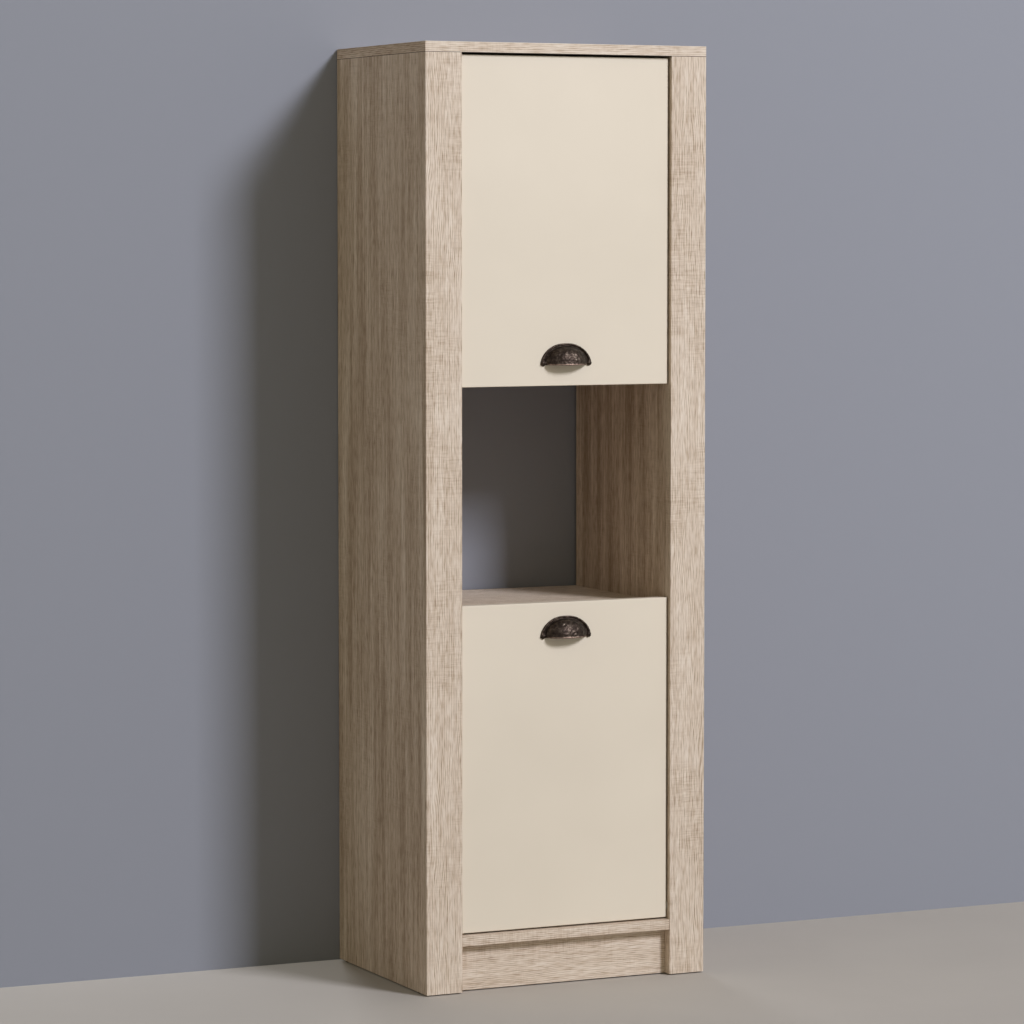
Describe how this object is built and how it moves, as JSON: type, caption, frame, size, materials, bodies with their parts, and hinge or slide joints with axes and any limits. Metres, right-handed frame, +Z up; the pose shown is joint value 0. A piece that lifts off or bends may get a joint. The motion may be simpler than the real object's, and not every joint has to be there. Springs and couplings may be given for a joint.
{
  "type": "tall bathroom cabinet",
  "caption": "Tall narrow bathroom cabinet with a hinged upper door, an open niche and a tilting laundry flap below, cup pulls on both.",
  "frame": {"origin": "on the floor, at the centre of the footprint with the cup pulls", "axes": "+Z up, -Y towards the user at the front, +X to the right seen from the front"},
  "size_m": [0.525, 0.396, 1.6],
  "materials": {
    "oak_foil_upright": "oak-look foil on chipboard, grain running up",
    "oak_foil_level": "oak-look foil on chipboard, grain running across",
    "raw_chipboard": "raw chipboard",
    "cream_foil": "matt cream foil on MDF",
    "hardboard": "thin fibreboard with a printed face",
    "aged_bronze": "cast, dark antique bronze finish",
    "nickel_plated_steel": "nickel-plated steel",
    "coated_wire": "white powder coat",
    "cotton_canvas": "natural cotton canvas",
    "moulded_plastic": "moulded nylon",
    "clear_rubber": "soft clear bumper",
    "beech_dowel": "turned beech"
  },
  "bodies": {
    "carcass": {"back_panel_nails": "nickel_plated_steel", "bottom_board": "oak_foil_level", "bracket_screws": "nickel_plated_steel", "cam_bolts": "nickel_plated_steel", "cam_discs": "nickel_plated_steel", "carcass_screws": "nickel_plated_steel", "catch_screws": "nickel_plated_steel", "flap_bumpers": "clear_rubber", "flap_bushes": "moulded_plastic", "floor_glides": "moulded_plastic", "guide_screws": "nickel_plated_steel", "hinge_arms": "nickel_plated_steel", "hinge_plate_screws": "nickel_plated_steel", "hinge_plates": "nickel_plated_steel", "inner_side_left": "oak_foil_upright", "inner_side_right": "oak_foil_upright", "lower_back_panel": "hardboard", "magnetic_catch": "moulded_plastic", "niche_ceiling": "oak_foil_level", "niche_floor": "oak_foil_level", "outer_side_left": "oak_foil_upright", "outer_side_right": "oak_foil_upright", "plinth_board": "oak_foil_level", "rear_batten_left": "oak_foil_upright", "rear_batten_right": "oak_foil_upright", "rear_plinth_rail": "oak_foil_level", "shelf_pins": "nickel_plated_steel", "side_rails_left": "raw_chipboard", "side_rails_right": "raw_chipboard", "stay_guides": "moulded_plastic", "stile_dowels": "beech_dowel", "stile_left": "oak_foil_upright", "stile_right": "oak_foil_upright", "top_board": "oak_foil_level", "top_dowels": "beech_dowel", "upper_back_panel": "hardboard", "upper_shelf": "oak_foil_level", "wall_bracket": "nickel_plated_steel"},
    "upper_door": {"upper_door": "cream_foil", "upper_cup_pull": "aged_bronze", "upper_pull_screws": "nickel_plated_steel", "hinge_cups": "nickel_plated_steel", "hinge_pins": "nickel_plated_steel", "hinge_cup_screws": "nickel_plated_steel", "catch_strike_plate": "nickel_plated_steel", "strike_screw": "nickel_plated_steel"},
    "laundry_flap": {"lower_flap": "cream_foil", "lower_cup_pull": "aged_bronze", "lower_pull_screws": "nickel_plated_steel", "flap_pivot_pins": "nickel_plated_steel", "flap_stays": "nickel_plated_steel", "stay_screws": "nickel_plated_steel", "bag_frame": "coated_wire", "frame_clips": "moulded_plastic", "clip_screws": "nickel_plated_steel", "laundry_bag": "cotton_canvas"}
  },
  "joints": [
    {"name": "upper_door_hinge", "type": "hinge", "parent": "carcass", "child": "upper_door", "pos_m": [-0.1765, -0.1648, 1.3015], "axis": [0, 0, -1], "range_deg": [0, 95]},
    {"name": "laundry_flap_tilt", "type": "hinge", "parent": "carcass", "child": "laundry_flap", "pos_m": [0, -0.167, 0.121], "axis": [1, 0, 0], "range_deg": [0, 38]}
  ]
}
